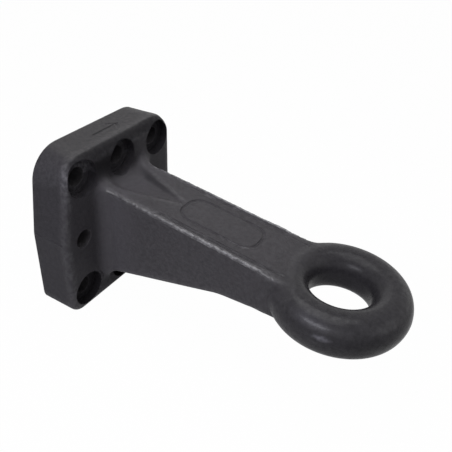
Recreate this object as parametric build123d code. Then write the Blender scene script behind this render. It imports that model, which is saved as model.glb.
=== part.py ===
from build123d import *
import math
import os

# Bolt-on towing eye: one drop forging, in millimetres. +X runs from the drawbar to the eye and +Z is up.
# The origin is the middle of the bolt pattern, on the machined back face of the flange.

# Flange: six-sided outline, whose sides stand out furthest at the parting line of the forging dies
FLANGE_THICKNESS = 37.5
FLANGE_HEIGHT = 160.5
FLANGE_TOP_WIDTH = 139.5
FLANGE_BOTTOM_WIDTH = 143.5
PARTING_Z = 2.5
PARTING_BULGE = 5.8
TOP_CORNER_BACK_R = 27.5
TOP_CORNER_FRONT_R = 20.0
PARTING_CORNER_R = 6.0
BOTTOM_CORNER_R = 13.0
FRONT_EDGE_R = 4.5

# Bolt holes: three along the top, three along the bottom, one at mid height on each side.
# A forged trough in the arm's top leaves room for the spanner in front of the middle one.
BOLT_CLEARANCE_D = 17.5
HEAD_RECESS_D = 34.5
HEAD_RECESS_DEPTH = 8.0
SPOTFACE_D = 46.0
SPOTFACE_DEPTH = 0.6
SPOTFACE_REACH = 16.0
TROUGH_FLOOR_WIDTH = 36.0
TROUGH_END_X = 106.0
SIDE_HOLE_CHAMFER = 1.2
ROW_SPACING = 118.6
COLUMN_SPACING = 103.8
SIDE_HOLE_SPACING = 109.0

# Eye: ring of oval section, its middle plane a little above the middle of the bolt pattern.
# Its narrowest place is a short straight land, left where the web in the hole was punched out.
EYE_X = 257.0
EYE_Z = 8.8
EYE_HOLE_D = 50.0
EYE_LAND_LENGTH = 8.0
RING_SECTION_WIDTH = 33.5
RING_SECTION_HEIGHT = 38.0

# Arm: flat top that slopes to the ring, drafted sides, and an underside that rises in two slopes to
# a heel below the ring, then runs up into the ring's underside
ARM_TOP_WIDTH = 62.6
ARM_DRAFT = 2.1
ARM_TOP_Z_AT_FLANGE = 43.3
ARM_TOP_SINK_AT_EYE = 1.4
ARM_BOTTOM_Z_AT_FLANGE = -53.8
ARM_KNEE_X = 161.0
ARM_KNEE_Z = -19.8
ARM_KNEE_R = 40.0
HEEL_FROM_EYE = 51.0
HEEL_DROP = 5.0
HEEL_R = 8.0
ARM_BOTTOM_SINK_AT_EYE = 0.6
ARM_TOP_EDGE_R = 2.0
ARM_BOTTOM_EDGE_R = 5.0
ROOT_FILLET_R = 13.0

RING_RADIUS = (EYE_HOLE_D + RING_SECTION_WIDTH) / 2
CROWN_X = EYE_X - RING_RADIUS


def flange_outline():
    """The three corners of the flange's +Y side, from the bottom to the top."""
    low = Vector(FLANGE_BOTTOM_WIDTH / 2, -FLANGE_HEIGHT / 2)
    high = Vector(FLANGE_TOP_WIDTH / 2, FLANGE_HEIGHT / 2)
    straight = low + (high - low) * (PARTING_Z - low.Y) / FLANGE_HEIGHT
    return [(low.X, low.Y), (straight.X + PARTING_BULGE, PARTING_Z), (high.X, high.Y)]


def corner_waste(x, radius):
    """What the rounding of the +Y top corner takes away in the plane at x, up to a point clear of the flange."""
    _, parting, corner = flange_outline()
    rounding = FilletPolyline(parting, corner, (0, corner[1]), radius=radius).edges().filter_by(GeomType.CIRCLE)[0]
    clear = (corner[0] + radius, corner[1] + radius)
    outside = Polyline(rounding @ 0, clear, rounding @ 1)
    return Plane.YZ.offset(x) * make_face([rounding] + list(outside.edges()))


def flange():
    """The bolted flange: its top corners are rounder at the back than at the front."""
    right = flange_outline()
    left = [(-y, z) for y, z in reversed(right)]
    plate = extrude(Plane.YZ * make_face(Polyline(*right, *left, close=True)), FLANGE_THICKNESS)
    lengthwise = plate.edges().filter_by(Axis.X)
    plate = fillet(lengthwise.group_by(Axis.Z)[0], BOTTOM_CORNER_R)
    parting = plate.edges().filter_by(Axis.X).filter_by(lambda edge: abs(edge.center().Z - PARTING_Z) < 1)
    plate = fillet(parting, PARTING_CORNER_R)
    waste = loft([corner_waste(0, TOP_CORNER_BACK_R), corner_waste(FLANGE_THICKNESS, TOP_CORNER_FRONT_R)], ruled=True)
    plate = plate - waste - mirror(waste, Plane.XZ)
    return fillet(plate.faces().sort_by(Axis.X)[-1].edges(), FRONT_EDGE_R)


def ring():
    """The eye: an oval section turned about the upright axis of the hole, cut straight along its land."""
    land_share = EYE_LAND_LENGTH / RING_SECTION_HEIGHT
    oval = Ellipse(RING_SECTION_WIDTH / 2 / math.sqrt(1 - land_share**2), RING_SECTION_HEIGHT / 2)
    punch = Pos(EYE_HOLE_D / 4, 0) * Rectangle(EYE_HOLE_D / 2, RING_SECTION_HEIGHT)
    section = Plane.XZ * (Pos(RING_RADIUS, 0) * oval - punch)
    return Pos(EYE_X, 0, EYE_Z) * Rot(0, 0, 180) * revolve(section, Axis.Z)


def arm_side_view():
    """The arm seen from the side, from inside the flange to the middle of the eye."""
    root_x = FLANGE_THICKNESS / 2
    crown_top = EYE_Z + RING_SECTION_HEIGHT / 2 - ARM_TOP_SINK_AT_EYE
    crown_bottom = EYE_Z - RING_SECTION_HEIGHT / 2 + ARM_BOTTOM_SINK_AT_EYE
    top_slope = (crown_top - ARM_TOP_Z_AT_FLANGE) / (CROWN_X - FLANGE_THICKNESS)
    root_slope = (ARM_KNEE_Z - ARM_BOTTOM_Z_AT_FLANGE) / (ARM_KNEE_X - FLANGE_THICKNESS)
    knee = (ARM_KNEE_X, ARM_KNEE_Z)
    heel = (EYE_X - HEEL_FROM_EYE, EYE_Z - RING_SECTION_HEIGHT / 2 - HEEL_DROP)
    outline = Polyline(
        (root_x, ARM_BOTTOM_Z_AT_FLANGE + root_slope * (root_x - FLANGE_THICKNESS)),
        knee,
        heel,
        (CROWN_X, crown_bottom),
        (EYE_X, crown_bottom),
        (EYE_X, ARM_TOP_Z_AT_FLANGE + top_slope * (EYE_X - FLANGE_THICKNESS)),
        (root_x, ARM_TOP_Z_AT_FLANGE + top_slope * (root_x - FLANGE_THICKNESS)),
        close=True,
    )
    view = make_face(outline)
    view = fillet(view.vertices().sort_by_distance(knee)[0], ARM_KNEE_R)
    return fillet(view.vertices().sort_by_distance(heel)[0], HEEL_R)


def arm_section():
    """The arm's section with drafted sides, drawn downwards from the line of its top face."""
    half_width = ARM_TOP_WIDTH / 2
    depth = ARM_TOP_Z_AT_FLANGE - ARM_BOTTOM_Z_AT_FLANGE + FLANGE_THICKNESS
    lean = depth * math.tan(math.radians(ARM_DRAFT))
    corners = [(-half_width, 0), (half_width, 0), (half_width - lean, -depth), (lean - half_width, -depth)]
    return make_face(Polyline(*corners, close=True))


def lengthwise_edges(blank):
    """The edges that run along the arm, on its slopes too."""
    return blank.edges().filter_by(lambda edge: abs(edge.tangent_at(0.5).X) > math.cos(math.radians(45)))


def arm():
    """The arm before its root is rounded into the flange, cut off along the crown of the ring."""
    view = arm_side_view()
    slab = extrude(Plane.XZ * view, ARM_TOP_WIDTH, both=True)
    top_edge = view.edges().sort_by(lambda edge: edge.center().Y)[-1]
    run = (top_edge @ 0) - (top_edge @ 1)
    along_top = Plane(
        origin=(top_edge.center().X, 0, top_edge.center().Y),
        x_dir=(0, 1, 0),
        z_dir=(abs(run.X), 0, -abs(run.Y)),
    )
    blank = slab & extrude(along_top * arm_section(), EYE_X, both=True)
    blank = fillet(lengthwise_edges(blank).filter_by(lambda edge: edge.center().Z > EYE_Z), ARM_TOP_EDGE_R)
    blank = fillet(lengthwise_edges(blank).filter_by(lambda edge: edge.center().Z < 0), ARM_BOTTOM_EDGE_R)
    return blank - Pos(EYE_X, 0, EYE_Z) * Cylinder(RING_RADIUS, FLANGE_HEIGHT)


def bolt_axis(y, z):
    """The axis of one bolt, at the flange's front face and looking along +X."""
    return Plane.YZ * Pos(y, z, FLANGE_THICKNESS)


def bottom_cylinder(radius, height):
    """A cylinder that stands on its own origin."""
    return Cylinder(radius, height, align=(Align.CENTER, Align.CENTER, Align.MIN))


def clearance_hole():
    """The hole for a bolt's shank, all the way through the flange."""
    return Pos(0, 0, -FLANGE_THICKNESS / 2) * Cylinder(BOLT_CLEARANCE_D / 2, 2 * FLANGE_THICKNESS)


def recessed_hole(y, z, reach):
    """A bolt hole with the recess for its head and the room that a socket spanner needs in front."""
    recess = Pos(0, 0, -HEAD_RECESS_DEPTH) * bottom_cylinder(HEAD_RECESS_D / 2, HEAD_RECESS_DEPTH + reach)
    spanner_room = Pos(0, 0, -SPOTFACE_DEPTH) * bottom_cylinder(SPOTFACE_D / 2, SPOTFACE_DEPTH + reach)
    return bolt_axis(y, z) * (clearance_hole() + recess + spanner_room)


def trough_section(x, floor_width):
    """The trough across the arm at x: a flat floor level with the bottom of the spot face, and sloping sides."""
    floor_z = ROW_SPACING / 2 - SPOTFACE_D / 2
    rise = SPOTFACE_D / 2
    low = floor_width / 2
    corners = [(-low, floor_z), (low, floor_z), (low + rise, floor_z + rise), (-low - rise, floor_z + rise)]
    return Plane.YZ.offset(x) * make_face(Polyline(*corners, close=True))


def trough():
    """What is taken out of the arm's top, narrowing away from the flange."""
    start = FLANGE_THICKNESS - SPOTFACE_DEPTH
    return loft([trough_section(start, TROUGH_FLOOR_WIDTH), trough_section(TROUGH_END_X, 1.0)], ruled=True)


def side_hole(y):
    """A plain bolt hole at mid height, with its front edge broken."""
    hole_r = BOLT_CLEARANCE_D / 2
    edge_break = Pos(0, 0, -SIDE_HOLE_CHAMFER / 2) * Cone(hole_r, hole_r + SIDE_HOLE_CHAMFER, SIDE_HOLE_CHAMFER)
    return bolt_axis(y, 0) * (clearance_hole() + edge_break)


def forging():
    """Flange, arm and ring as one blank, with rounded corners where the arm leaves the flange."""
    blank = flange() + arm()
    root = blank.edges().filter_by_position(Axis.X, FLANGE_THICKNESS - 0.01, FLANGE_THICKNESS + 0.01)
    root = root.filter_by(lambda edge: abs(edge.center().Y) < ARM_TOP_WIDTH / 2 + 1)
    root = root.filter_by(lambda edge: abs(edge.center().Z) < FLANGE_HEIGHT / 2 - ROOT_FILLET_R)
    return fillet(root, ROOT_FILLET_R) + ring()


def towing_eye():
    """The finished forging with its bolt holes."""
    body = forging() - trough()
    for y in (-COLUMN_SPACING / 2, 0, COLUMN_SPACING / 2):
        body -= recessed_hole(y, ROW_SPACING / 2, SPOTFACE_REACH)
        body -= recessed_hole(y, -ROW_SPACING / 2, EYE_X)
    for y in (-SIDE_HOLE_SPACING / 2, SIDE_HOLE_SPACING / 2):
        body -= side_hole(y)
    return body


os.makedirs("parts", exist_ok=True)
export_step(towing_eye(), "parts/towing_eye.step")
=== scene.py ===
import math
import bmesh
import bpy
from mathutils import Matrix, Vector


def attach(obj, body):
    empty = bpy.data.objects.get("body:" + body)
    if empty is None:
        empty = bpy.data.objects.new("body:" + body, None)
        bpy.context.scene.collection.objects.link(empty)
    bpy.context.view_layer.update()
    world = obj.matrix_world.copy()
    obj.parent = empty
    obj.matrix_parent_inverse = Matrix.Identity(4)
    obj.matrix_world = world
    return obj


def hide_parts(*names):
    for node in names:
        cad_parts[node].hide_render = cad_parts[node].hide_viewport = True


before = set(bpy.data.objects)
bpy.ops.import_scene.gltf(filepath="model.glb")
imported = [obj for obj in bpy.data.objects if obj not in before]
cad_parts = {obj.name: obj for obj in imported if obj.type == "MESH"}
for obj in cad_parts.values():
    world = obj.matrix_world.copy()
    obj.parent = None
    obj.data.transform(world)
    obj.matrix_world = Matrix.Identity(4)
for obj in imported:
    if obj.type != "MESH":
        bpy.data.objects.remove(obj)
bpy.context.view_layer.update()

# The camera stands to the right of the arm and above it, a little rolled, so that the arm runs down
# across the picture from the flange to the ring.
view_azimuth = math.radians(63.457)
view_height = math.radians(34.6)
view_roll = math.radians(6.511)
camera_place = (0.3268, -0.3571, 0.3069)
towards_camera = Vector((
    math.cos(view_height) * math.cos(view_azimuth),
    -math.cos(view_height) * math.sin(view_azimuth),
    math.sin(view_height),
))
camera_data = bpy.data.cameras.new("camera")
camera_data.sensor_width = 36.0
camera_data.lens = 45.17
camera_data.clip_end = 20.0
camera = bpy.data.objects.new("camera", camera_data)
bpy.context.collection.objects.link(camera)
turn = towards_camera.to_track_quat("Z", "Y").to_matrix().to_4x4() @ Matrix.Rotation(view_roll, 4, "Z")
camera.matrix_world = Matrix.Translation(camera_place) @ turn
bpy.context.scene.camera = camera


# The flange: a thick six-sided plate of forged steel, widest where the two dies met. The dies rounded
# its corners, more at the back than at the front, and rounded its top front edge the most. The back
# has some steel to spare for milling. All sizes of the forging are in millimetres.
flange_thickness = 37.5
back_allowance = 4.0
front_edge = 4.5
top_front_edge = 9.0


def new_piece(name, vertices, faces):
    """A mesh object from points in millimetres, placed by its own points."""
    mesh = bpy.data.meshes.new(name)
    mesh.from_pydata([Vector(v) * 0.001 for v in vertices], [], faces)
    form = bmesh.new()
    form.from_mesh(mesh)
    bmesh.ops.remove_doubles(form, verts=form.verts, dist=1e-7)
    bmesh.ops.recalc_face_normals(form, faces=form.faces)
    form.to_mesh(mesh)
    form.free()
    piece = bpy.data.objects.new(name, mesh)
    bpy.context.collection.objects.link(piece)
    return piece


def rounded_outline(corners, steps=10, divide=12):
    """Points round a closed outline of (a, b, radius) corners, each corner and each side divided alike."""
    arcs = []
    for i, (a, b, radius) in enumerate(corners):
        here = Vector((a, b))
        before = (Vector(corners[i - 1][:2]) - here).normalized()
        after = (Vector(corners[(i + 1) % len(corners)][:2]) - here).normalized()
        half_angle = before.angle(after) / 2
        centre = here + (before + after).normalized() * radius / math.sin(half_angle)
        start = here + before * radius / math.tan(half_angle) - centre
        end = here + after * radius / math.tan(half_angle) - centre
        sweep = start.angle_signed(end)
        arcs.append([centre + Matrix.Rotation(-sweep * step / steps, 2) @ start for step in range(steps + 1)])
    points = []
    for i, arc in enumerate(arcs):
        points += arc
        onward = arcs[(i + 1) % len(arcs)][0]
        points += [arc[-1].lerp(onward, step / divide) for step in range(1, divide)]
    return points


def loft(name, sections):
    """A closed skin over sections that all have the same number of points."""
    count = len(sections[0])
    vertices = [point for section in sections for point in section]
    faces = [tuple(range(count)), tuple(range(len(vertices) - count, len(vertices)))]
    for row in range(len(sections) - 1):
        for i in range(count):
            j = (i + 1) % count
            faces.append((row * count + i, row * count + j, (row + 1) * count + j, (row + 1) * count + i))
    return new_piece(name, vertices, faces)


def flange_outline(x):
    """The flange's six-sided outline at x, as (y, z) points; its top corners are rounder at the back."""
    share = min(max(x / flange_thickness, 0.0), 1.0)
    top_corner = 27.5 + (20.0 - 27.5) * share
    return rounded_outline([
        (72.0, -80.3, 13.0), (76.9, 2.5, 7.0), (70.2, 81.1, top_corner - 0.5),
        (-69.9, 79.7, top_corner + 2.0), (-77.1, 2.5, 7.0), (-72.7, -80.4, 13.0),
    ])


def front_edge_section(swing):
    """The section at an angle round the flange's front edge, where 0 is its side and a right angle its face."""
    half_width, half_height = 76.9, 80.3
    points = []
    for y, z in flange_outline(flange_thickness - front_edge):
        high = min(1.0, max(0.0, (z - 63.0) / 14.0))
        edge = front_edge + (top_front_edge - front_edge) * high * high * (3 - 2 * high)
        inset = edge * (1 - math.cos(swing))
        x = flange_thickness - edge * (1 - math.sin(swing))
        points.append((x, y * (1 - inset / half_width), z * (1 - inset / half_height)))
    return points


flange_rows = [[(x, y, z) for y, z in flange_outline(x)] for x in (-back_allowance, 0.0, 16.0)]
flange_rows += [front_edge_section(math.radians(15 * step)) for step in range(7)]
flange = loft("flange_blank", flange_rows)


# The arm: a tapering bar with a flat sloping top, and sides drafted so that the forging left the dies.
# Its underside rises in two slopes to a heel under the ring, its far end widens a little into the ring,
# and its foot spreads into the flange through a rounded corner.
arm_end = 215.0
arm_knee = 161.0
arm_heel = 206.0
foot_top, end_top = 43.3, 26.3
foot_depth, knee_depth, heel_depth = 54.1, 20.2, 16.4
half_arm = 31.0
side_draft = math.radians(2.1)
root_radius = 13.0


def arm_section(x, flare=0.0):
    """The arm's section at x, spread out all round by the flare."""
    along = min(x, arm_end)
    top = foot_top + (end_top - foot_top) * (along - flange_thickness) / (arm_end - flange_thickness)
    steep = (foot_depth - knee_depth) / (arm_knee - flange_thickness)
    gentle = (knee_depth - heel_depth) / (arm_heel - arm_knee)
    turned_up = 1 / (1 + math.exp(-(along - arm_knee) / 4.0))
    bottom = -knee_depth + (along - arm_knee) * (steep + (gentle - steep) * turned_up)
    bottom += max(0.0, along - 208.0) * 0.2
    half = half_arm + 1.3 * max(0.0, (along - 160) / 55) ** 2 + 2.6 * max(0.0, (x - 196) / 19)
    far_half = half + 0.8 * max(0.0, (along - 150.0) / 65.0)
    draft = (top - bottom) * math.tan(side_draft)
    corners = [
        (-half - flare, top + flare, 1.6 + flare),
        (draft - half - flare, bottom - flare, 5.0 + flare),
        (far_half - draft + flare, bottom - flare, 5.0 + flare),
        (far_half + flare, top + flare, 1.6 + flare),
    ]
    return [(x, y, z) for y, z in rounded_outline(corners)]


def arm_top(x):
    """The height of the arm's sloping top at x."""
    return max(z for _, _, z in arm_section(min(x, arm_end)))


eye_x = 257.0
eye_z = 8.8
ring_radius = 41.9
arm_rows = [arm_section(20.0, root_radius)]
for step in range(0, 9):
    swing = math.radians(90 * step / 8)
    x = flange_thickness + root_radius * (1 - math.cos(swing))
    arm_rows.append(arm_section(x, root_radius * (1 - math.sin(swing))))
for x in (*range(56, 200, 6), 202, 206, 210):
    arm_rows.append(arm_section(float(x)))
crown = [(eye_x - math.sqrt(ring_radius**2 - y**2), y, z) for _, y, z in arm_section(arm_end)]
arm_rows.append(crown)
arm_rows.append([(x, y, eye_z + 0.1 * (z - eye_z)) for x, y, z in crown])
arm = loft("arm_blank", arm_rows)


# The ring: the eye that a towing jaw's pin or hook goes through, forged with the arm and punched out.
# Its section is an oval, a little squarer than an ellipse, and a faint band stands out where the dies met.
ring_half_width = 16.9
ring_half_height = 18.9
squareness = 0.92
stations_round, points_round = 96, 40
ring_points = []
for step in range(stations_round):
    swing = math.tau * step / stations_round
    for point in range(points_round):
        angle = math.tau * point / points_round
        out = math.copysign(abs(math.cos(angle)) ** squareness, math.cos(angle)) * ring_half_width
        up = math.copysign(abs(math.sin(angle)) ** squareness, math.sin(angle)) * ring_half_height
        out += 0.35 * math.exp(-(up / 3.6) ** 2) * (out > 0)
        reach = ring_radius + out
        ring_points.append((eye_x + reach * math.cos(swing), reach * math.sin(swing), eye_z + up))


def band_faces(rows, count):
    """Faces between closed rows of count points each, the last row joined to the first."""
    faces = []
    for row in range(rows):
        after = (row + 1) % rows
        for i in range(count):
            j = (i + 1) % count
            faces.append((row * count + i, row * count + j, after * count + j, after * count + i))
    return faces


ring = new_piece("ring_blank", ring_points, band_faces(stations_round, points_round))


# The forging as it leaves the dies: flange, arm and ring are one piece of steel with every corner between
# them rounded, so the three are joined and covered by one skin. A trough over the arm's foot and a scoop
# under it leave room for the middle bolts and the spanner that turns them.
skin_grain = 1.3
bolt_row = 59.3
scoop_radius = 23.0
trough_end = 106.0


def freeze(piece):
    """Turn what the modifiers give into the piece's own mesh."""
    done = bpy.data.meshes.new_from_object(piece.evaluated_get(bpy.context.evaluated_depsgraph_get()))
    piece.modifiers.clear()
    piece.data = done


def join(first, *others):
    """One object from several overlapping ones."""
    form = bmesh.new()
    for piece in (first, *others):
        form.from_mesh(piece.data)
    form.to_mesh(first.data)
    form.free()
    for piece in others:
        bpy.data.objects.remove(piece)
    return first


def smooth(piece, rounds):
    """Add a smoothing step to the piece."""
    step = piece.modifiers.new("smooth", "SMOOTH")
    step.factor = 0.5
    step.iterations = rounds
    return step


def new_skin(piece, rounds):
    """One even skin round the piece, smoothed a little all over."""
    remesh = piece.modifiers.new("skin", "REMESH")
    remesh.mode = "VOXEL"
    remesh.voxel_size = skin_grain * 0.001
    remesh.adaptivity = 0.0
    smooth(piece, rounds)
    freeze(piece)


def soften(piece, rounds, inside):
    """Smooth the piece only where inside(x, y, z), in millimetres, gives more than nothing."""
    group = piece.vertex_groups.new(name="soft")
    for vertex in piece.data.vertices:
        weight = inside(*(vertex.co * 1000))
        if weight > 0:
            group.add([vertex.index], min(weight, 1.0), "REPLACE")
    smooth(piece, rounds).vertex_group = group.name
    freeze(piece)
    piece.vertex_groups.clear()


def cut(piece, *cutters):
    """Take the cutters out of the piece."""
    for cutter in cutters:
        step = piece.modifiers.new("cut", "BOOLEAN")
        step.operation = "DIFFERENCE"
        step.solver = "EXACT"
        step.object = cutter
        freeze(piece)
        bpy.data.objects.remove(cutter)


def trough_cutter():
    """The trough: a level floor that narrows to a point, sloping sides, and a foot that curls up the flange."""
    foot = ((37.2, 10.0), (39.0, 6.8), (42.0, 3.6), (46.0, 1.5), (51.0, 0.4))
    rows = []
    for x, rise in (*foot, (58.0, 0.0), (83.0, 0.0), (trough_end, 0.0)):
        half = 18.0 + (0.5 - 18.0) * (x - flange_thickness) / (trough_end - flange_thickness)
        low, high = 36.3 + rise, 59.3 + rise
        rows.append([(x, -half, low), (x, half, low), (x, half + 23, high), (x, -half - 23, high)])
    return loft("trough", rows)


def turned(name, profile, y, z):
    """A cutter turned about a line along X through (y, z), from (x, radius) pairs."""
    steps, count = 64, len(profile)
    vertices = []
    for step in range(steps):
        swing = math.tau * step / steps
        vertices += [(x, y + radius * math.cos(swing), z + radius * math.sin(swing)) for x, radius in profile]
    faces = []
    for row in range(steps):
        after = (row + 1) % steps
        for i in range(count - 1):
            faces.append((row * count + i, row * count + i + 1, after * count + i + 1, after * count + i))
    faces.append(tuple(row * count for row in range(steps)))
    faces.append(tuple(row * count + count - 1 for row in range(steps)))
    return new_piece(name, vertices, faces)


def near(value, middle, reach):
    """1 at the middle, falling to 0 at the reach."""
    return max(0.0, 1 - abs(value - middle) / reach)


def from_eye(x, y):
    """How far a point is from the line through the middle of the eye."""
    return math.hypot(x - eye_x, y)


blank = join(flange, arm, ring)
blank.name = "forged_towing_eye"
new_skin(blank, 2)
cut(blank, trough_cutter())
cut(blank, turned("scoop", [(flange_thickness - 0.5, scoop_radius), (240.0, scoop_radius)], 0.0, -bolt_row))
new_skin(blank, 3)

# Softer places: the arm's neck, the ring's shoulders, the two walls of the trough and the arm's foot.
for rounds, place in (
    (24, lambda x, y, z: 3 * near(from_eye(x, y), 58.0, 14) * near(abs(y), 30.0, 16) * (x < 232)),
    (16, lambda x, y, z: 3 * near(from_eye(x, y), ring_radius + 5, 14) * (x < 228) * (abs(z - eye_z) > 11)),
    (26, lambda x, y, z: 2 * near(y, -16.0, 16) * near(x, 72.0, 45) * (z > 26)),
    (5, lambda x, y, z: 2 * near(y, 16.0, 14) * near(x, 76.0, 42) * (z > 26)),
    (24, lambda x, y, z: 2 * near(abs(y), 27.0, 14) * near(x, 45.0, 15) * (z > 28)),
):
    soften(blank, rounds, place)


def mark_wear_and_shade(piece):
    """Keep how far each point stands out, as the attribute rubbed, and where shade is painted on the trough's far
    wall, as a second attribute.
    """
    form = bmesh.new()
    form.from_mesh(piece.data)
    form.verts.ensure_lookup_table()
    rings = [[edge.other_vert(vertex).index for edge in vertex.link_edges] for vertex in form.verts]
    out = []
    for vertex in form.verts:
        middle = Vector()
        for i in rings[vertex.index]:
            middle += form.verts[i].co
        step = vertex.co - middle / max(1, len(rings[vertex.index]))
        out.append(step.dot(vertex.normal))
    form.free()
    trough_wall_shade = []
    for vertex in piece.data.vertices:
        x, y, z = vertex.co * 1000
        wall = min(1.0, max(0.0, (-vertex.normal.y - 0.12) / 0.25)) * near(x, 68.0, 34) * 1.6
        trough_wall_shade.append(min(1.0, wall) if z > 24 and 0 < y < 26 else 0.0)
    for _ in range(3):
        out = [(value + sum(out[i] for i in ring)) / (1 + len(ring)) for value, ring in zip(out, rings)]
        trough_wall_shade = [(value + sum(trough_wall_shade[i] for i in ring)) / (1 + len(ring)) for value, ring in zip(trough_wall_shade, rings)]
    rubbed = [min(1.0, max(0.0, value / 0.00006)) for value in out]
    for name, values in (("rubbed", rubbed), ("trough_wall_shade", trough_wall_shade)):
        piece.data.attributes.new(name, "FLOAT", "POINT").data.foreach_set("value", values)


mark_wear_and_shade(blank)


# The grooves: just inside each top edge of the arm the trimming die pressed a shallow groove into the
# steel, which starts beside the trough's point and runs out on top of the ring.
groove_start, groove_end = 88, 217


def groove_at(x):
    """How far the groove lies from the middle at x, how high, and how thick its cutter is there."""
    aside = 26.2 - 1.6 * max(0.0, (x - 190) / 28)
    faded = min(1.0, 0.58 + (x - groove_start) / 60, 0.58 + (groove_end - x) / 78)
    return aside, arm_top(x) + 1.5, 2.7 * faded


def swept(name, path, radius, closed=False):
    """A round cutter along a path of points, with one radius or a list of them."""
    rows = []
    count, steps = len(path), 8
    for i, place in enumerate(path):
        here = Vector(place)
        before = Vector(path[i - 1]) if closed or i else here
        after = Vector(path[(i + 1) % count]) if closed or i < count - 1 else here
        along = (after - before).normalized()
        side = along.cross(Vector((0, 0, 1))).normalized()
        rise = side.cross(along)
        reach = radius[i] if isinstance(radius, list) else radius
        swings = [math.tau * step / steps for step in range(steps)]
        rows.append([here + (side * math.cos(swing) + rise * math.sin(swing)) * reach for swing in swings])
    if closed:
        return new_piece(name, [point for row in rows for point in row], band_faces(count, steps))
    return loft(name, rows)


grooves = []
for side in (-1, 1):
    stations = [(x, *groove_at(x)) for x in range(groove_start, groove_end + 1, 3)]
    path = [(x, side * aside, z) for x, aside, z, _ in stations]
    grooves.append(swept("groove", path, [thick for *_, thick in stations]))


# The marks: a plain oblong outline pressed into the arm's top, and an arrow stamped in the flange's top
# edge, the one that is uppermost when the eye is bolted on.
oblong_middle = 145.0
stamp_x, stamp_z, stamp_radius = 17.5, 80.7, 1.35
corners = rounded_outline([(-37, -17, 13), (37, -17, 13), (37, 17, 13), (-37, 17, 13)], 8, 10)
oblong_path = [(x + oblong_middle, y, arm_top(x + oblong_middle) + 0.95) for x, y in corners]
oblong = swept("oblong", oblong_path, 2.1, closed=True)
shaft = swept("arrow_shaft", [(stamp_x, y, stamp_z) for y in range(-16, 17, 2)], stamp_radius)
head_path = ((11.0, 8.0), (13.2, 11.0), (15.4, 14.0), (stamp_x, 17.0), (19.6, 14.0), (21.8, 11.0), (24.0, 8.0))
cut(blank, join(*grooves, oblong, shaft))
cut(blank, swept("arrow_head", [(x, y, stamp_z) for x, y in head_path], stamp_radius))


# Machining after forging: the back is milled flat, and six bolt holes are drilled and bored out for the
# bolts' heads, by a tool that leaves a ring in each floor. Those away from the middle are also spot faced
# where they meet the arm's foot. The two side holes only have their front edge broken.
bolt_column, side_column = 51.9, 54.5
hole_radius, recess_radius, spot_radius = 8.75, 17.0, 19.6
recess_bottom, spot_face, clear = 29.5, 38.1, 54.0
tool_ring = [(recess_bottom, 12.4), (29.0, 12.8), (29.0, 13.6), (recess_bottom, 14.0)]
bored = [(-6.0, hole_radius), (29.2, hole_radius), (recess_bottom, 9.05), *tool_ring, (recess_bottom, recess_radius)]
spotfaced = bored + [(spot_face, recess_radius), (spot_face, spot_radius), (clear, spot_radius)]
recessed = bored + [(clear, recess_radius)]
plain = [(-6.0, hole_radius), (36.9, hole_radius), (37.6, 9.45), (60.0, 9.45)]
recesses = [(y, z) for y in (-bolt_column, 0.0, bolt_column) for z in (bolt_row, -bolt_row)]
side_holes = [(-side_column, 0.0), (side_column, 0.0)]

back = new_piece("milled_back", [(x, y, z) for x in (-20, 0) for y in (-120, 120) for z in (-120, 120)],
                 [(0, 1, 3, 2), (4, 5, 7, 6), (0, 1, 5, 4), (2, 3, 7, 6), (0, 2, 6, 4), (1, 3, 7, 5)])
cut(blank, back)
drills = [turned("recess", spotfaced if y else recessed, y, z) for y, z in recesses]
drills += [turned("side_hole", plain, y, z) for y, z in side_holes]
cut(blank, join(*drills))
for polygon in blank.data.polygons:
    polygon.use_smooth = True
blank.data.set_sharp_from_angle(angle=math.radians(32))


def cut_mark(x, y, z):
    """2 in a bolt hole, up to 1 in a recess or in the near groove, where shade is painted, and 0 on the rest of the
    forging.
    """
    if 0.05 < x < 44.0:
        if any(math.hypot(y - hole_y, z - hole_z) < hole_radius + 0.15 for hole_y, hole_z in recesses + side_holes):
            return 2.0
        for hole_y, hole_z in recesses:
            if math.hypot(y - hole_y, z - hole_z) < recess_radius + 0.15:
                return 0.4 if hole_z > 0 and hole_y < 1 else 1.0
    elif 96.0 < x < groove_end and -30.0 < y < -20.0 and z > 20.0:
        aside, height, thick = groove_at(x)
        if math.hypot(y + aside, z - height) < thick + 0.1:
            return 0.5
    return 0.0

# Where each tone lies on the forging, how the paint wore there, and where light and shade are painted.

marks = [cut_mark(*(polygon.center * 1000)) for polygon in blank.data.polygons]
blank.data.attributes.new("drilled", "FLOAT", "FACE").data.foreach_set("value", marks)


# The paint: satin black, sprayed thin over a shot-blasted skin. It is dull and a little dusty on the
# rough arm, and smoother and darker on the ring. Shade is painted into its colour on the front of the
# flange near its top, inside the recesses, in the near groove, on the trough's far wall and round the
# ring's far end. Light is painted onto the arm's foot, and highlights onto the outer edges, where the
# paint is also rubbed lighter, and onto the ring's near side.
paint = bpy.data.materials.new("satin_black_paint_on_forged_steel")
paint.use_nodes = True
tree = paint.node_tree
shader = tree.nodes["Principled BSDF"]


def own_place(tree):
    """The place on the object itself, in metres."""
    node = tree.nodes.get("Texture Coordinate") or tree.nodes.new("ShaderNodeTexCoord")
    return node.outputs["Object"]


def add_noise(tree, scale, detail, roughness=0.5):
    """Noise on the object's own coordinates, with about scale patches to the metre."""
    node = tree.nodes.new("ShaderNodeTexNoise")
    node.inputs["Scale"].default_value = scale
    node.inputs["Detail"].default_value = detail
    node.inputs["Roughness"].default_value = roughness
    tree.links.new(own_place(tree), node.inputs["Vector"])
    return node.outputs["Fac"]


def spread(tree, value, low, high, from_low=0.3, from_high=0.7):
    """Map a range of a value, by default most of a noise's, onto low to high."""
    node = tree.nodes.new("ShaderNodeMapRange")
    node.interpolation_type = "SMOOTHSTEP"
    node.inputs["From Min"].default_value = from_low
    node.inputs["From Max"].default_value = from_high
    node.inputs["To Min"].default_value = low
    node.inputs["To Max"].default_value = high
    tree.links.new(value, node.inputs["Value"])
    return node.outputs["Result"]


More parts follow.
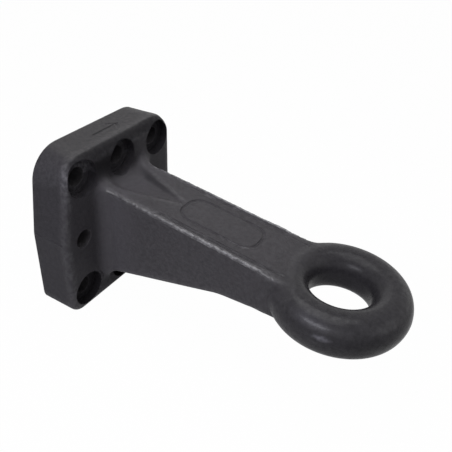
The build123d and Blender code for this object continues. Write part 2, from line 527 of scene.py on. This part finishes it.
def between(tree, axis, low, high, start, end):
    """Go from low to high between two places along one of the object's axes, in metres."""
    split = tree.nodes.get("Separate XYZ")
    if not split:
        split = tree.nodes.new("ShaderNodeSeparateXYZ")
        tree.links.new(own_place(tree), split.inputs[0])
    return spread(tree, split.outputs[axis], low, high, start, end)


def calculate(tree, operation, first, *others):
    """Work through two or more values from the left, each a socket or a number."""
    for other in others:
        node = tree.nodes.new("ShaderNodeMath")
        node.operation = operation
        for socket, value in zip(node.inputs, (first, other)):
            if isinstance(value, float):
                socket.default_value = value
            else:
                tree.links.new(value, socket)
        first = node.outputs[0]
    return first


def blend(tree, share, first, second):
    """Mix two colours, each a socket or a tuple."""
    node = tree.nodes.new("ShaderNodeMix")
    node.data_type = "RGBA"
    tree.links.new(share, node.inputs[0])
    for socket, value in ((node.inputs[6], first), (node.inputs[7], second)):
        if isinstance(value, tuple):
            socket.default_value = (*value, 1)
        else:
            tree.links.new(value, socket)
    return node.outputs[2]


def patch_at(tree, middle, reach):
    """1 at a place on the object, falling to 0 at the reach along each axis."""
    given = own_place(tree)
    for operation, values in (("SUBTRACT", middle), ("DIVIDE", reach)):
        node = tree.nodes.new("ShaderNodeVectorMath")
        node.operation = operation
        node.inputs[1].default_value = values
        tree.links.new(given, node.inputs[0])
        given = node.outputs["Vector"]
    away = tree.nodes.new("ShaderNodeVectorMath")
    away.operation = "LENGTH"
    tree.links.new(given, away.inputs[0])
    return spread(tree, away.outputs["Value"], 1.0, 0.0, 0.0, 1.0)


def kept_mark(tree, name):
    """A value that the mesh keeps, such as how rubbed a point is."""
    node = tree.nodes.new("ShaderNodeAttribute")
    node.attribute_name = name
    return node.outputs["Fac"]


# Where each tone lies on the forging, and how the paint wore or ran there.
on_arm = between(tree, "X", 0.0, 1.0, 0.0353, 0.0445)
on_ring = between(tree, "X", 0.0, 1.0, 0.196, 0.236)
on_top = between(tree, "Z", 0.0, 1.0, 0.0768, 0.0792)
drilled = kept_mark(tree, "drilled")
edge = calculate(tree, "MULTIPLY", kept_mark(tree, "rubbed"), spread(tree, add_noise(tree, 260, 4, 0.6), 0.25, 1.0))
# Painted shade on the flange's front face: along its top rounding, and beside the top left and top middle holes.
flange_front = calculate(
    tree, "MULTIPLY",
    between(tree, "X", 0.0, 0.9, 0.0295, 0.0330),
    between(tree, "X", 1.0, 0.0, 0.0382, 0.0400),
    between(tree, "Y", 0.0, 1.0, -0.073, -0.064),
)
above_holes = between(tree, "Z", 0.0, 1.0, 0.067, 0.074)
near_holes = calculate(
    tree, "MULTIPLY",
    between(tree, "Z", 0.0, 1.0, 0.040, 0.062),
    between(tree, "Y", 1.0, 0.0, 0.008, 0.026),
)
painted_front_shade = calculate(tree, "MULTIPLY", flange_front, calculate(tree, "MAXIMUM", near_holes, above_holes))
# Painted light: the arm's foot lighter, and the flange's front beside it a little lighter.
painted_root_light = calculate(
    tree, "MULTIPLY",
    between(tree, "X", 0.2, 1.0, 0.0368, 0.0410),
    between(tree, "X", 1.0, 0.0, 0.050, 0.088),
    0.55,
)
# Rubbed edges, lighter both from wear and as a painted highlight: most up the flange's front edges and at its top
# left corner, least low down and along the top front edge.
below_top_edge = calculate(
    tree, "MAXIMUM",
    between(tree, "Z", 1.0, 0.1, 0.068, 0.077),
    between(tree, "Y", 1.0, 0.0, -0.067, -0.060),
)
rubbed_and_highlit_edges = calculate(tree, "MULTIPLY", edge, between(tree, "Z", 0.15, 1.0, 0.03, 0.068), below_top_edge)
# Painted highlight: a soft glow on the ring's near side, round the window lamp's reflection.
painted_ring_glow = calculate(tree, "MULTIPLY", patch_at(tree, (0.2505, -0.0538, 0.0220), (0.024, 0.017, 0.008)), 0.8)
# Painted shade: the ring's outer side round its far end darker.
painted_nose_shade = calculate(tree, "MULTIPLY", patch_at(tree, (0.296, -0.041, 0.004), (0.048, 0.042, 0.022)), 0.8)
# Painted highlight: a short bright streak on the ring's near side, just above its middle.
painted_ring_highlight = calculate(
    tree, "MULTIPLY",
    patch_at(tree, (0.2635, -0.0577, 0.0139), (0.0105, 0.0167, 0.0034)),
    spread(tree, add_noise(tree, 420, 4, 0.6), 0.4, 1.0),
)

# The tones: the three parts of the forging first, then each coat, wear, painted light and painted
# shade over what lies under it.
mottled = spread(tree, add_noise(tree, 300, 8, 0.7), 0.0, 1.0)
flange_tone = blend(tree, mottled, (0.0205, 0.0193, 0.0219), (0.0300, 0.0282, 0.0322))
top_tone = blend(tree, mottled, (0.0265, 0.0255, 0.0265), (0.0430, 0.0412, 0.0425))
arm_tone = blend(tree, mottled, (0.0360, 0.0340, 0.0372), (0.0570, 0.0540, 0.0587))
ring_tone = blend(tree, mottled, (0.0180, 0.0171, 0.0190), (0.0255, 0.0242, 0.0270))
tone = flange_tone
for share, coat in (
    (on_top, top_tone),
    (on_arm, arm_tone),
    (on_ring, ring_tone),
    # Painted shade on the flange's front face.
    (painted_front_shade, (0.0050, 0.0047, 0.0053)),
    # Painted light on the arm's foot.
    (painted_root_light, (0.074, 0.0705, 0.0785)),
    # Rubbed edges: wear and painted highlight.
    (rubbed_and_highlit_edges, (0.085, 0.082, 0.092)),
    # Painted glow on the ring's near side.
    (painted_ring_glow, (0.042, 0.0405, 0.0465)),
    # Painted shade round the ring's far end.
    (painted_nose_shade, (0.0095, 0.0090, 0.0102)),
    # Painted highlight streak on the ring.
    (painted_ring_highlight, (0.112, 0.110, 0.124)),
    # Painted shade on the trough's far wall.
    (calculate(tree, "MULTIPLY", kept_mark(tree, "trough_wall_shade"), 0.7), (0.018, 0.0172, 0.0190)),
    # Painted shade in the recesses and the near groove.
    (spread(tree, drilled, 0.0, 0.6, 0.0, 1.0), (0.010, 0.0096, 0.0106)),
    (spread(tree, drilled, 0.0, 1.0, 1.2, 1.8), (0.042, 0.040, 0.043)),
):
    tone = blend(tree, share, tone, coat)
tree.links.new(tone, shader.inputs["Base Color"])

# The gloss: the ring is the smoothest, and rubbed edges shine a little more than the rest.
roughness = calculate(
    tree, "ADD",
    spread(tree, add_noise(tree, 420, 4), 0.40, 0.50),
    calculate(tree, "MULTIPLY", on_ring, -0.15),
    calculate(tree, "MULTIPLY", edge, -0.08),
)
tree.links.new(roughness, shader.inputs["Roughness"])
shine = calculate(
    tree, "ADD",
    calculate(tree, "MULTIPLY", on_arm, 0.03),
    calculate(tree, "MULTIPLY", on_ring, -0.01),
    calculate(tree, "MULTIPLY", edge, 0.3),
    0.06,
)
# Less shine where shade is painted on the flange's front and in the cut places.
shine = calculate(
    tree, "MULTIPLY", shine,
    spread(tree, painted_front_shade, 1.0, 0.3, 0.0, 1.0),
    spread(tree, drilled, 1.0, 0.2, 0.0, 1.0),
)
shader.inputs["Specular IOR Level"].default_value = 0.08  # for a program that leaves out the linked level
tree.links.new(shine, shader.inputs["Specular IOR Level"])

# The surface: fine grain from the shot blasting, and broader dents where scale came off the hot steel.
grain = tree.nodes.new("ShaderNodeBump")
grain.inputs["Distance"].default_value = 0.0006
tree.links.new(spread(tree, on_ring, 0.95, 0.03, 0.0, 1.0), grain.inputs["Strength"])
tree.links.new(add_noise(tree, 1100, 6, 0.7), grain.inputs["Height"])
scale_marks = tree.nodes.new("ShaderNodeBump")
scale_marks.inputs["Distance"].default_value = 0.0015
tree.links.new(spread(tree, on_ring, 0.3, 0.08, 0.0, 1.0), scale_marks.inputs["Strength"])
tree.links.new(add_noise(tree, 150, 3), scale_marks.inputs["Height"])
tree.links.new(grain.outputs["Normal"], scale_marks.inputs["Normal"])
tree.links.new(scale_marks.outputs["Normal"], shader.inputs["Normal"])
blank.data.materials.clear()
blank.data.materials.append(paint)
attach(blank, "root")
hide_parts("towing_eye")


# The flash lines: where the dies met, steel was squeezed out in a thin fin and trimmed off, which leaves
# a rough, slightly raised lip along both top edges of the arm, with its paint worn through on the crest
# and a highlight painted onto the crest as well, and a fainter line over the flange's two sides.
def flash_tree():
    """Sweep a small lip along each path and break up its crest."""
    group = bpy.data.node_groups.new("trimmed_flash", "GeometryNodeTree")
    group.interface.new_socket("Geometry", in_out="INPUT", socket_type="NodeSocketGeometry")
    for name, value in (("Width", 0.0022), ("Height", 0.0009), ("Ragged", 0.0006), ("Step", 0.0006)):
        group.interface.new_socket(name, in_out="INPUT", socket_type="NodeSocketFloat").default_value = value
    group.interface.new_socket("Paint", in_out="INPUT", socket_type="NodeSocketMaterial")
    group.interface.new_socket("Geometry", in_out="OUTPUT", socket_type="NodeSocketGeometry")
    node, link = group.nodes.new, group.links.new
    given = node("NodeGroupInput")
    spaced = node("GeometryNodeResampleCurve")
    spaced.mode = "LENGTH"
    link(given.outputs["Geometry"], spaced.inputs["Curve"])
    link(given.outputs["Step"], spaced.inputs["Length"])
    lip = node("GeometryNodeCurvePrimitiveCircle")
    lip.inputs["Resolution"].default_value = 10
    lip.inputs["Radius"].default_value = 1.0
    squash = node("GeometryNodeTransform")
    size = node("ShaderNodeCombineXYZ")
    half = node("ShaderNodeMath")
    half.operation = "MULTIPLY"
    half.inputs[1].default_value = 0.5
    link(given.outputs["Width"], half.inputs[0])
    link(half.outputs[0], size.inputs["X"])
    link(given.outputs["Height"], size.inputs["Y"])
    size.inputs["Z"].default_value = 1.0
    link(lip.outputs["Curve"], squash.inputs["Geometry"])
    link(size.outputs["Vector"], squash.inputs["Scale"])
    sweep = node("GeometryNodeCurveToMesh")
    sweep.inputs["Fill Caps"].default_value = True
    link(spaced.outputs["Curve"], sweep.inputs["Curve"])
    link(squash.outputs["Geometry"], sweep.inputs["Profile Curve"])
    rough = node("ShaderNodeTexNoise")
    rough.inputs["Scale"].default_value = 420.0
    rough.inputs["Detail"].default_value = 4.0
    place = node("GeometryNodeInputPosition")
    link(place.outputs["Position"], rough.inputs["Vector"])
    centred = node("ShaderNodeVectorMath")
    centred.operation = "SUBTRACT"
    centred.inputs[1].default_value = (0.5, 0.5, 0.5)
    link(rough.outputs["Color"], centred.inputs[0])
    shift = node("ShaderNodeVectorMath")
    shift.operation = "SCALE"
    link(centred.outputs["Vector"], shift.inputs[0])
    link(given.outputs["Ragged"], shift.inputs["Scale"])
    moved = node("GeometryNodeSetPosition")
    link(sweep.outputs["Mesh"], moved.inputs["Geometry"])
    link(shift.outputs["Vector"], moved.inputs["Offset"])
    real = node("GeometryNodeRealizeInstances")
    link(moved.outputs["Geometry"], real.inputs["Geometry"])
    finish = node("GeometryNodeSetMaterial")
    link(real.outputs["Geometry"], finish.inputs["Geometry"])
    link(given.outputs["Paint"], finish.inputs["Material"])
    result = node("NodeGroupOutput")
    link(finish.outputs["Geometry"], result.inputs["Geometry"])
    return group


flash = flash_tree()
worn = bpy.data.materials.new("thin_paint_on_trimmed_flash")
worn.use_nodes = True
tree = worn.node_tree
shader = tree.nodes["Principled BSDF"]
# The crest lighter: bare steel where the paint wore through, and a painted highlight, strongest over the arm's outer
# half and fading towards the flange and the ring.
bare_and_highlit = calculate(
    tree, "MULTIPLY",
    spread(tree, add_noise(tree, 240, 6, 0.75), 0.0, 1.0, 0.41, 0.65),
    between(tree, "X", 0.12, 1.0, 0.06, 0.16),
    between(tree, "X", 1.0, 0.15, 0.190, 0.208),
)
tree.links.new(blend(tree, bare_and_highlit, (0.042, 0.040, 0.044), (0.185, 0.181, 0.190)), shader.inputs["Base Color"])
shader.inputs["Roughness"].default_value = 0.36
shader.inputs["Specular IOR Level"].default_value = 0.5


def flash_line(name, paths, width, height, ragged, coat):
    """A mesh lip along open paths of (place, thickness) pairs in millimetres."""
    data = bpy.data.curves.new(name + "_path", "CURVE")
    data.dimensions = "3D"
    for path in paths:
        spline = data.splines.new("POLY")
        spline.points.add(len(path) - 1)
        for point, (place, thickness) in zip(spline.points, path):
            point.co = (*(Vector(place) * 0.001), 1.0)
            point.radius = thickness
    guide = bpy.data.objects.new(name + "_path", data)
    bpy.context.collection.objects.link(guide)
    step = guide.modifiers.new("lip", "NODES")
    step.node_group = flash
    values = {"Width": width * 0.001, "Height": height * 0.001, "Ragged": ragged * 0.001, "Paint": coat}
    for socket in flash.interface.items_tree:
        if socket.in_out == "INPUT" and socket.name in values:
            step[socket.identifier] = values[socket.name]
    made = bpy.data.meshes.new_from_object(guide.evaluated_get(bpy.context.evaluated_depsgraph_get()))
    bpy.data.objects.remove(guide)
    line = bpy.data.objects.new(name, made)
    bpy.context.collection.objects.link(line)
    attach(line, "root")


def on_skin(place, sink):
    """The point of the forging's skin nearest to a place, in millimetres, sunk a little into it."""
    _, spot, normal, _ = blank.closest_point_on_mesh(Vector(place) * 0.001)
    return spot * 1000 - normal * sink


def lip_path(side, out, down):
    """A path along one top edge of the arm, thin at the flange and thinner where it ends at the ring."""
    path = []
    for x in range(44, 211, 2):
        rim = max(side * y for _, y, _ in arm_section(x))
        thick = min(1.0, 0.4 + (x - 44) / 110, max(0.08, (209 - x) / 18))
        place = on_skin((x, side * (rim + out), arm_top(x) - down), 0.2 + 1.2 * (1 - thick))
        path.append((place, thick))
    return path


flash_line("near_flash_lip", [lip_path(-1, 1.5, 1.5)], 2.5, 1.9, 1.9, worn)
flash_line("far_flash_lip", [lip_path(1, -0.4, 0.4)], 2.2, 1.9, 1.1, worn)
side_paths = [[(on_skin((x, side * 80.0, 2.5), 0.4), 1.0) for x in range(1, 34)] for side in (-1, 1)]
flash_line("flange_flash_lines", side_paths, 1.5, 1.2, 0.5, paint)


# The studio: a pale table under the part, open white space behind it, and soft lamps. The camera sees
# the table and the space as white, and the table sends light back up onto the underside.
table_size, table_top = 3000, -80.4
table_corners = [
    (-table_size, -table_size), (table_size, -table_size), (table_size, table_size), (-table_size, table_size)]
floor = new_piece("floor", [(x, y, table_top) for x, y in table_corners], [(0, 1, 2, 3)])
table = bpy.data.materials.new("white_table")
table.use_nodes = True
tree = table.node_tree
board = tree.nodes["Principled BSDF"]
board.inputs["Base Color"].default_value = (0.65, 0.65, 0.65, 1)
board.inputs["Roughness"].default_value = 0.8
glow = tree.nodes.new("ShaderNodeEmission")
glow.inputs["Color"].default_value = (1, 1, 1, 1)
glow.inputs["Strength"].default_value = 1.0
mix = tree.nodes.new("ShaderNodeMixShader")
seen = tree.nodes.new("ShaderNodeLightPath").outputs
direct = calculate(tree, "MULTIPLY", seen["Is Camera Ray"], 0.985)
mirrored = calculate(tree, "MAXIMUM", seen["Is Glossy Ray"], seen["Is Transmission Ray"])
mirrored = calculate(tree, "MULTIPLY", mirrored, 0.3)
tree.links.new(calculate(tree, "MAXIMUM", direct, mirrored), mix.inputs["Fac"])
tree.links.new(board.outputs[0], mix.inputs[1])
tree.links.new(glow.outputs[0], mix.inputs[2])
tree.links.new(mix.outputs[0], tree.nodes["Material Output"].inputs["Surface"])
floor.data.materials.append(table)

world = bpy.data.worlds.new("studio")
world.use_nodes = True
bpy.context.scene.world = world
tree = world.node_tree
space = tree.nodes["Background"]
space.inputs["Color"].default_value = (1, 1, 1, 1)
seen = tree.nodes.new("ShaderNodeLightPath").outputs
open_view = calculate(
    tree, "MAXIMUM", seen["Is Camera Ray"], seen["Is Transmission Ray"], seen["Is Glossy Ray"], 0.12)
tree.links.new(open_view, space.inputs["Strength"])


def soft_lamp(name, place, width, watts, colour=(1, 1, 1), height=None):
    """A soft lamp, square unless a height is given, that looks at the middle of the part."""
    data = bpy.data.lights.new(name, "AREA")
    data.shape = "RECTANGLE"
    data.size = width
    data.size_y = height or width
    data.energy = watts
    data.color = colour
    lamp = bpy.data.objects.new(name, data)
    lamp.location = place
    lamp.rotation_euler = (Vector(place) - Vector((0.12, 0, 0))).to_track_quat("Z", "Y").to_euler()
    bpy.context.collection.objects.link(lamp)


soft_lamp("back", (-0.5, 1.1, 0.8), 0.8, 1.45)
soft_lamp("right", (1.2, 0.1, 0.6), 0.8, 2.0)
soft_lamp("front", (0.6, -1.0, 0.5), 0.8, 1.1, (0.96, 0.96, 1.0))
soft_lamp("overhead", (0.12, 0.0, 0.6), 0.5, 2.5)
soft_lamp("side", (0.12, -0.6, 0.25), 0.4, 0.5, (0.94, 0.94, 1.0))
soft_lamp("window", (-0.02, -1.29, 0.78), 0.9, 11.0, (0.92, 0.92, 1.0), 0.24)

bpy.context.scene.view_settings.view_transform = "Standard"
